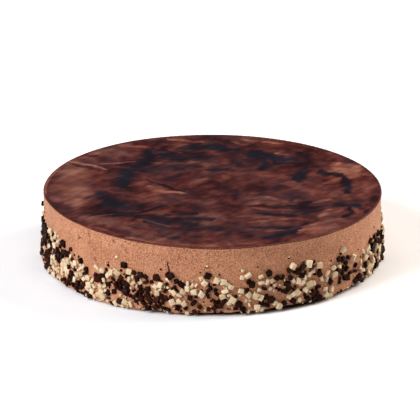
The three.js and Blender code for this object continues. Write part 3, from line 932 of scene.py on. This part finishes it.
def glaze_height(x, y):
    """The height of the glaze's upper face: it follows the mousse and runs out thin at the rim."""
    radius = np.hypot(x, y)
    near_rim = soft_step(radius, RIM_RADIUS - EDGE_WIDTH, RIM_RADIUS)
    along, across = knife_way(x, y)
    ridges = 0.05 * hills(along / 13, across / 1.7, seed=21) + 0.03 * hills(along / 6, across, seed=22)
    thickness = GLAZE_THICKNESS - (GLAZE_THICKNESS - RIM_THICKNESS) * near_rim
    thickness = thickness + (glaze_relief(x, y) + ridges) * (1 - 0.8 * near_rim)
    lift = edge_lift(radius, np.degrees(np.arctan2(x, -y)))
    return MOUSSE_TOP + lift + np.maximum(LEAST_THICKNESS, thickness)


# %% Glaze disc
GLAZE_CELLS = 292
SOFT_EDGE = 0.4  # mm, the rounding of the rim
EDGE_STEPS = 3

bm = bmesh.new()
bmesh.ops.create_grid(bm, x_segments=GLAZE_CELLS, y_segments=GLAZE_CELLS, size=1)
x, y, z = places_of(bm)
flat_radius = RIM_RADIUS - SOFT_EDGE
disc_x = flat_radius * x * np.sqrt(1 - y**2 / 2)
disc_y = flat_radius * y * np.sqrt(1 - x**2 / 2)
move_to(bm, disc_x, disc_y, z + GLAZE_TOP)

rim_path = [
    (flat_radius + SOFT_EDGE * math.sin(a), GLAZE_TOP - SOFT_EDGE * (1 - math.cos(a)))
    for a in (math.pi / 2 * step / EDGE_STEPS for step in range(1, EDGE_STEPS + 1))
]
underside = [(CAKE_RADIUS - EDGE_WIDTH * share, MOUSSE_TOP) for share in (0, 0.25, 0.5, 0.75, 1)]
for ring_radius, ring_height in rim_path + underside:
    border = [edge for edge in bm.edges if edge.is_boundary]
    ring = bmesh.ops.extrude_edge_only(bm, edges=border)["geom"]
    for vertex in (item for item in ring if isinstance(item, bmesh.types.BMVert)):
        outwards = vertex.co.xy.normalized() * ring_radius
        vertex.co = (outwards.x, outwards.y, ring_height)
bmesh.ops.holes_fill(bm, edges=[edge for edge in bm.edges if edge.is_boundary])
bmesh.ops.recalc_face_normals(bm, faces=bm.faces)

x, y, z = places_of(bm)
below = z < MOUSSE_TOP + 0.1
lift = edge_lift(np.hypot(x, y), np.degrees(np.arctan2(x, -y)))
move_to(bm, x, y, np.where(below, z + lift, glaze_height(x, y) + z - GLAZE_TOP))
print("glaze disc:", len(bm.faces), "faces")

# %% [markdown]
# The marbling is painted on the vertices, stroke by stroke, in the order in which a knife would
# lay them. A stroke is a line with a width, and it pulls the glaze under it towards its own tone,
# from 0 for dark to 1 for pale chocolate, and its own warmth, from 0 for a cool brown to 1 for a
# reddish one. The glaze is not painted straight: the places are first pushed along the knife's
# way, each thin streak by another amount, which frays the edges and ends of the strokes.
# Some strokes paint light and shade: shadows, highlights and reflections along the folds, and a painted
# shadow line just inside the rim.

# %% Paint the marbling
# [tone, warmth, width, (x, y), (x, y), ...], in mm.
STROKES = [
    # Broad fields.
    [0.78, 0.6, 36, (-106, 56), (-96, 18), (-100, -32)],
    [0.62, 0.65, 34, (-96, 66), (-64, 94)],
    [0.64, 0.5, 20, (-92, -58), (-64, -80), (-44, -92)],
    [0.55, 0.75, 18, (-44, -104), (0, -112), (40, -106)],
    [0.68, 1.0, 7, (-84, -80), (-58, -100), (-28, -112), (4, -116), (32, -111)],
    [0.92, 0.9, 34, (92, 54), (98, 38), (106, 22)],
    [0.5, 0.8, 26, (110, 14), (102, -26)],
    [0.62, 0.8, 26, (106, -46), (80, -80), (54, -102)],
    [0.36, 0.8, 32, (6, 10), (14, -56)],
    [0.52, 0.95, 16, (6, 20), (20, 6)],
    [0.26, 0.55, 24, (44, 0), (58, -20)],
    [0.3, 0.6, 20, (24, -42), (62, -46)],
    [0.46, 0.9, 32, (22, 18), (56, 44)],
    [0.52, 0.75, 26, (60, 6), (88, -12)],
    [0.26, 0.45, 26, (-52, 40), (-6, 44)],
    [0.42, 0.8, 22, (-62, 2), (-10, 14)],
    [0.42, 0.7, 20, (-50, -22), (0, -30)],
    [0.3, 0.5, 18, (-54, -80), (-24, -92)],
    [0.28, 0.7, 14, (34, -110), (60, -98)],
    [0.28, 0.6, 22, (14, 62), (62, 58)],
    [0.42, 0.8, 14, (-34, 98), (-4, 103)],
    [0.32, 0.9, 16, (18, 92), (54, 86)],
    [0.48, 0.9, 12, (44, 96), (78, 78)],
    # Dark masses.
    [0.06, 0.12, 15, (-48, 88), (-50, 70), (-55, 50), (-60, 30), (-64, 18), (-68, 6)],
    [0.1, 0.25, 20, (-46, 75), (-20, 70), (4, 70)],
    [0.05, 0.08, 13, (-24, 88), (0, 90), (15, 85)],
    [0.06, 0.1, 17, (24, 74), (46, 69)],
    [0.05, 0.08, 11, (42, 66), (63, 62)],
    [0.1, 0.3, 9, (38, 65), (38, 55), (34, 44)],
    [0.15, 0.6, 15, (66, 76), (69, 48)],
    [0.08, 0.25, 10, (68, 44), (63, 30), (60, 18)],
    [0.2, 0.35, 10, (-2, 41), (15, 42)],
    [0.26, 0.9, 14, (86, 60), (70, 86)],
    [0.02, 0.08, 9, (78, 41), (80, 33), (84, 28), (90, 27), (92, 20), (95, 12), (96, 0), (95, -9)],
    [0.22, 0.35, 24, (-82, -10), (-72, -30), (-52, -44)],
    [0.1, 0.1, 10, (-78, -22), (-62, -39)],
    [0.18, 0.4, 8, (-73, -3), (-58, -6)],
    [0.1, 0.25, 10, (-70, -55), (-53, -59)],
    [0.09, 0.4, 15, (-47, -58), (-25, -65), (-2, -66)],
    [0.11, 0.4, 10, (-46, -70), (-28, -72), (-8, -76)],
    [0.14, 0.4, 9, (-30, -50), (-10, -51)],
    [0.16, 0.4, 8, (-42, -78), (-14, -86)],
    [0.25, 0.5, 6, (-32, -100), (-23, -100)],
    [0.25, 0.6, 6, (-16, -97), (-7, -98)],
    [0.3, 0.4, 12, (-8, -78), (22, -88)],
    [0.02, 0.15, 7, (31, -50), (41, -55), (58, -58)],
    [0.02, 0.15, 7, (24, -80), (38, -80), (50, -81), (60, -78), (67, -70)],
    [0.07, 0.1, 9, (32, -101), (45, -98), (55, -91), (59, -84)],
    [0.12, 0.25, 10, (85, -30), (103, -38)],
    [0.14, 0.55, 9, (66, -27), (60, -37), (73, -43)],
    [0.32, 0.95, 9, (114, -16), (107, -42)],
    [0.06, 0.5, 5, (96, -41), (98, -50), (91, -60)],
    [0.14, 0.5, 4, (111, -41), (106, -51)],
    # Lighter brown between them.
    [0.56, 0.95, 12, (110, 24), (113, 2)],
    [0.74, 1.0, 9, (79, 12), (91, 18)],
    [0.58, 0.75, 13, (73, -8), (94, -20)],
    [0.85, 0.6, 5, (83, -21), (70, -29)],
    # Painted reflection below the groove near the middle of the top.
    [0.82, 0.8, 17, (-44, 7), (-35, -5), (-26, -10)],
    [0.86, 0.7, 6, (-32, -6), (-20, -8)],
    [0.5, 1.0, 8, (-60, 8), (-47, 17)],
    [0.48, 0.85, 6, (-24, 22), (-4, 46)],
    [0.5, 0.8, 5, (-8, 14), (6, 34)],
    [0.85, 0.85, 7, (-34, 111), (-18, 106), (-7, 101)],
    [0.8, 0.8, 5, (-70, 93), (-48, 93)],
    [0.75, 1.0, 7, (-90, 75), (-79, 79)],
    [0.78, 0.9, 6, (22, 107), (50, 99)],
    [0.72, 0.5, 4, (13, 104), (24, 96)],
    [0.6, 0.95, 5, (47, 76), (57, 73)],
    [0.85, 0.7, 6, (83, -44), (74, -61)],
    [0.85, 0.7, 6, (68, -76), (90, -61)],
    [0.8, 0.7, 6, (58, -89), (87, -77)],
    [0.72, 0.95, 5, (25, -70), (45, -65), (58, -63), (71, -66)],
    [0.65, 0.7, 5, (35, -88), (49, -87)],
    # Painted highlight under the fold's shadow, right of the middle.
    [0.6, 0.8, 5, (27, -40), (45, -44), (61, -46)],
    [0.5, 1.0, 7, (-53, -86), (-37, -91)],
    # Reddish lines.
    [0.25, 1.0, 7, (-64, 101), (-45, 95), (-29, 90)],
    [0.22, 1.0, 5, (-38, 88), (-28, 80), (-19, 78)],
    [0.22, 0.95, 8, (1, 111), (13, 101)],
    [0.42, 1.0, 5, (66, 91), (76, 75)],
    # Painted shadow under the fold's glint, right of the middle, dark red.
    [0.08, 1.0, 5, (25, -35), (43, -36)],
    # Painted shadows and highlights along the folds.
    [0.3, 0.95, 4, (-104, 53), (-96, 47), (-87, 42), (-78, 36)],
    [0.92, 0.45, 4, (-106, 59), (-97, 52), (-88, 47), (-80, 42), (-76, 38)],
    [0.12, 0.4, 5, (-71, 51), (-56, 53)],
    [0.85, 0.5, 3.5, (-82, 52), (-66, 56), (-57, 59)],
    [0.62, 0.3, 3.5, (-46, 57), (-30, 54), (-20, 55), (-7, 60)],
    [0.0, 0.4, 4, (-31, 62), (-17, 63)],
    [0.03, 0.6, 3.5, (-49, 21), (-40, 14), (-35, 8), (-30, 4), (-24, -2), (-20, -7)],
    [0.0, 0.15, 5, (-83, -55), (-75, -52), (-70, -49), (-62, -50), (-52, -52), (-48, -48), (-35, -37)],
    [0.75, 0.3, 3, (-83, -58), (-75, -55), (-68, -53)],
    [0.6, 0.2, 3, (-51, -64), (-40, -70), (-29, -79)],
    [0.5, 0.2, 3, (-32, -59), (-18, -57), (-6, -60)],
    [0.68, 0.45, 3.5, (27, -23), (38, -21), (45, -24), (53, -27), (57, -34)],
    [0.02, 0.2, 4, (43, -36), (58, -35)],
    [0.03, 0.15, 5, (46, 63), (48, 54), (61, 56)],
    [0.2, 0.6, 4, (-91, 69), (-84, 71)],
]
STREAK_PULL = 8  # mm that a streak is pulled along the knife's way, at most
RIM_LINE = 1.5  # mm inside the rim, where a dark line of painted shadow lies
# How strong that line is: [angle, share].
RIM_SHADOW = [
    (-180, 0.1), (-110, 0.1), (-80, 0.6), (-70, 0.9), (-45, 0.9), (-15, 0.8), (8, 0.4),
    (60, 0.35), (95, 0.1),
]
RIM_LINE_WIDTH = 1.2  # mm
BARE_LIP = (-116, -80)  # the mousse's lip shows uncovered between these angles
BARE_WIDTH = 2.4
BARE_FADE = 6  # degrees over which the bare lip starts and ends
CALM_FIELD = [(-104, 56), (-98, 18), (-100, -32)]  # the knife left the glaze smooth here
CALM_FROM, CALM_TO = 8, 30  # mm from that line, between which the streaks come back
CALMED = 0.65  # share of the streaks that is missing there
EDGE_TONE = 0.55  # of the glaze's very edge
EDGE_FROM, EDGE_TO = 0.4, 1.0  # mm from the rim, between which that tone fades
STROKE_COVER = 0.92  # how fully a stroke covers what is under it


def distance_to_line(x, y, points):
    """How far each place is from a line, and how far along it its nearest point is, 0 to 1."""
    lengths = [math.dist(*ends) for ends in zip(points, points[1:])]
    nearest, share = np.full_like(x, np.inf), np.zeros_like(x)
    passed = 0
    for (x0, y0), (x1, y1), length in zip(points, points[1:], lengths):
        along = np.clip(((x - x0) * (x1 - x0) + (y - y0) * (y1 - y0)) / length**2, 0, 1)
        distance = np.hypot(x - x0 - along * (x1 - x0), y - y0 - along * (y1 - y0))
        share = np.where(distance < nearest, (passed + along * length) / sum(lengths), share)
        nearest = np.minimum(nearest, distance)
        passed += length
    return nearest, share


def paint_marbling(x, y):
    """The tone and the warmth of the glaze at each place."""
    along, across = knife_way(x, y)
    tone = 0.43 + 0.13 * hills(along / 24, across / 11, seed=11)
    warmth = 0.78 + 0.25 * hills(x / 30, y / 24, seed=13)
    pull = STREAK_PULL * (0.6 * hills(along / 20, across / 6, seed=14)
                          + 0.4 * hills(along / 8, across / 2.5, seed=15))
    sway = 5 * hills(x / 16, y / 14, seed=16) + 2 * hills(x / 6, y / 6, seed=17)
    for target, target_warmth, width, *points in STROKES:
        frayed = min(1, width / 15)
        pushed_x = x + frayed * (pull * math.cos(KNIFE_TURN) - sway * math.sin(KNIFE_TURN))
        pushed_y = y + frayed * (pull * math.sin(KNIFE_TURN) + sway * math.cos(KNIFE_TURN))
        distance, share = distance_to_line(pushed_x, pushed_y, points)
        half_width = width / 2 * (0.4 + 0.6 * np.sqrt(np.sin(np.pi * share)))
        cover = STROKE_COVER * (1 - soft_step(distance / half_width, 0.2, 1.4))
        tone = tone + (target - tone) * cover
        warmth = warmth + (target_warmth - warmth) * cover

    blotches = 0.13 * hills(x / 12 + pull / 12, y / 13, seed=19) + 0.11 * hills(x / 5, y / 6, seed=20)
    tone = tone + blotches + 0.05 * hills(along / 7, across / 2.6, seed=24)
    warmth = warmth + 0.22 * hills(x / 9, y / 12, seed=23)

    # The rim: a painted shadow line a little inside it, and a thin warm edge on the front half.
    radius, angle = np.hypot(x, y), np.degrees(np.arctan2(x, -y))
    from_rim = RIM_RADIUS - radius
    uneven = 0.5 + 0.5 * hills(angle / 7, x * 0, seed=18)
    painted_rim_shadow = np.exp(-(((from_rim - RIM_LINE) / RIM_LINE_WIDTH) ** 2)) * (0.4 + 0.6 * uneven)
    painted_rim_shadow = painted_rim_shadow * round_the_side(RIM_SHADOW, angle, 1)
    tone = tone + (0.1 - tone) * painted_rim_shadow
    in_front = soft_step(np.cos(np.radians(angle)), -0.2, 0.4)
    warm_edge = (1 - soft_step(from_rim, 0.6, 2.4)) * in_front
    tone = tone + (0.6 - tone) * warm_edge * (1 - painted_rim_shadow)
    warmth = warmth + (1 - warmth) * np.maximum(painted_rim_shadow, warm_edge)
    lip_start, lip_end = BARE_LIP
    at_lip = soft_step(angle, lip_start, lip_start + BARE_FADE)
    at_lip = at_lip * (1 - soft_step(angle, lip_end - BARE_FADE, lip_end))
    bare = at_lip * (1 - soft_step(from_rim, BARE_WIDTH - 0.6, BARE_WIDTH + 0.4))
    tone = tone + (1.0 - tone) * 0.7 * bare
    return np.clip(tone, 0, 1), np.clip(warmth, 0, 1)


x, y, z = places_of(bm)
tones, warmths = paint_marbling(x, y)
at_edge = 1 - soft_step(RIM_RADIUS - np.hypot(x, y), EDGE_FROM, EDGE_TO)
keep_value(bm, "tone", tones + (EDGE_TONE - tones) * at_edge)
keep_value(bm, "warmth", warmths + (1 - warmths) * at_edge)
keep_value(bm, "edge", at_edge)
from_calm, _ = distance_to_line(x, y, CALM_FIELD)
keep_value(bm, "busy", 1 - CALMED * (1 - soft_step(from_calm, CALM_FROM, CALM_TO)))
print(f"{len(STROKES)} strokes, mean tone {tones.mean():.2f}, mean warmth {warmths.mean():.2f}")

# %% [markdown]
# The material adds finer streaks and smears to the painted tone. The streaks are a noise that is
# stretched along the knife's way, and the smears are a larger one that isn't. One row of colours
# is for the cool browns and one for the warm ones, and the painted warmth mixes them. The dark end
# of the cool row is bluish: a painted reflection on the dark glaze. Chocolate glaze sets to a soft
# gloss: where it is dark, almost all that is seen of it is what it reflects, and where it is pale
# the gloss hides in the colour.

# %% Glaze material
STREAK_LENGTH = 11  # mm
STREAK_WIDTH = 2.8  # mm
STREAK_TONE = 0.11  # how much lighter or darker a streak makes the painted tone
SMEAR_SIZE = 17  # mm
SMEAR_TONE = 0.2
NOISE_RANGE = (0.25, 0.75)  # most of a noise lies between these
WANDER_SIZE = 40  # mm; the streaks bend with a slow noise of this size
WANDER = 22  # mm that they are moved by it
# The cool browns carry a bluish painted reflection in their dark end.
COOL_BROWNS_AND_SHEEN = ["#11111b", "#1b1822", "#322327", "#503633", "#75524a"]
WARM_BROWNS = ["#190507", "#2e0e0e", "#4c201b", "#68382c", "#8a5845"]

glaze_material, tree, shader, mm = new_material("marbled_chocolate_glaze")
slow_noise = {"Vector": mm, "Scale": 1 / WANDER_SIZE, "Detail": 1.0}
wander = add_node(tree, "ShaderNodeTexNoise", slow_noise)
wandered = add_node(tree, "ShaderNodeVectorMath", {
    "operation": "MULTIPLY_ADD",
    0: wander.outputs["Color"],
    1: (WANDER, WANDER, 0),
    2: mm,
}).outputs["Vector"]
drawn = add_node(tree, "ShaderNodeMapping", {
    "vector_type": "TEXTURE",
    "Vector": wandered,
    "Rotation": (0, 0, KNIFE_TURN),
    "Scale": (STREAK_LENGTH, STREAK_WIDTH, 1),
})
streak = noise(tree, drawn.outputs["Vector"], 1, 4.0, Roughness=0.6)
smear = noise(tree, wandered, SMEAR_SIZE, 5.0, Roughness=0.62, Distortion=0.9)
texture = calculate(
    tree, "ADD",
    spread(tree, smear, NOISE_RANGE, (-SMEAR_TONE, SMEAR_TONE)),
    spread(tree, streak, NOISE_RANGE, (-STREAK_TONE, STREAK_TONE)),
)
painted = attribute(tree, "tone")
mixed = calculate(tree, "MULTIPLY_ADD", texture, attribute(tree, "busy"), painted, clamp=True)
cool, warm = [
    ramp(tree, mixed, [(i / (len(browns) - 1), brown) for i, brown in enumerate(browns)])
    for browns in (COOL_BROWNS_AND_SHEEN, WARM_BROWNS)
]
rough = spread(tree, mixed, new=(0.28, 0.5))
at_rim = attribute(tree, "edge")
set_up(tree, shader, {
    "Base Color": blend(tree, attribute(tree, "warmth"), cool, warm),
    "Roughness": calculate(tree, "MULTIPLY_ADD", at_rim, 0.5, rough, clamp=True),
    "Normal": bumps(tree, streak, 0.5, 0.15),
    "IOR": 1.46,
    "Specular IOR Level": 0.32,
})

glaze = finish_piece(
    "marbled_glaze_top", bm, glaze_material, "marbled_glaze"
)

# %% [markdown]
# ## The table and the light
# The cake stands on a plain pale table. Two large soft lights of nearly the same power stand
# on its left and, further round, on its right. They leave the side darkest a little right of the
# middle, as in the photograph. A wide, weaker light hangs overhead. The world itself is dim, so
# that the dark glaze stays dark: at this low angle it reflects what stands behind the cake.

# %% Table
TABLE_RADIUS = 12  # metres, so that it fills the view from any side

table_material, tree, shader, mm = new_material("pale_table")
set_up(tree, shader, {
    "Base Color": ramp(tree, noise(tree, mm, 60, 1.0), [(0.0, "#e5e4e3"), (1.0, "#e9e8e7")]),
    "Roughness": 0.9,
    "Specular IOR Level": 0.0,
})

bm = bmesh.new()
bmesh.ops.create_circle(bm, cap_ends=True, radius=TABLE_RADIUS, segments=64)
table_mesh = bpy.data.meshes.new("table")
bm.to_mesh(table_mesh)
bm.free()
table_mesh.materials.append(table_material)
table = bpy.data.objects.new("table", table_mesh)
bpy.context.scene.collection.objects.link(table)


# %% Lights
def add_softbox(name, azimuth, elevation, distance, size, power, colour):
    """A square light that faces the cake. Azimuth 0 is in front of it, and 90 on its right."""
    turn, rise = math.radians(azimuth), math.radians(elevation)
    level = math.cos(rise)
    way = Vector((math.sin(turn) * level, -math.cos(turn) * level, math.sin(rise)))
    lamp = bpy.data.lights.new(name, "AREA")
    lamp.shape = "SQUARE"
    lamp.size = size
    lamp.energy = power
    lamp.color = linear(colour)[:3]
    softbox = bpy.data.objects.new(name, lamp)
    bpy.context.scene.collection.objects.link(softbox)
    softbox.location = way * distance
    softbox.rotation_euler = (-way).to_track_quat("-Z", "Y").to_euler()
    softbox.visible_camera = False


add_softbox("left_light", -58, 32, 2.4, 1.3, 84, "#f6f8ff")
add_softbox("right_light", 113, 32, 2.4, 1.3, 78, "#fff8f0")
add_softbox("overhead_light", 0, 88, 2.6, 2.2, 31, "#ffffff")

world = bpy.data.worlds.new("studio")
world.use_nodes = True
bpy.context.scene.world = world
background = world.node_tree.nodes["Background"]
background.inputs["Color"].default_value = linear("#98948f")
background.inputs["Strength"].default_value = 0.12

bpy.context.scene.view_settings.view_transform = "Standard"
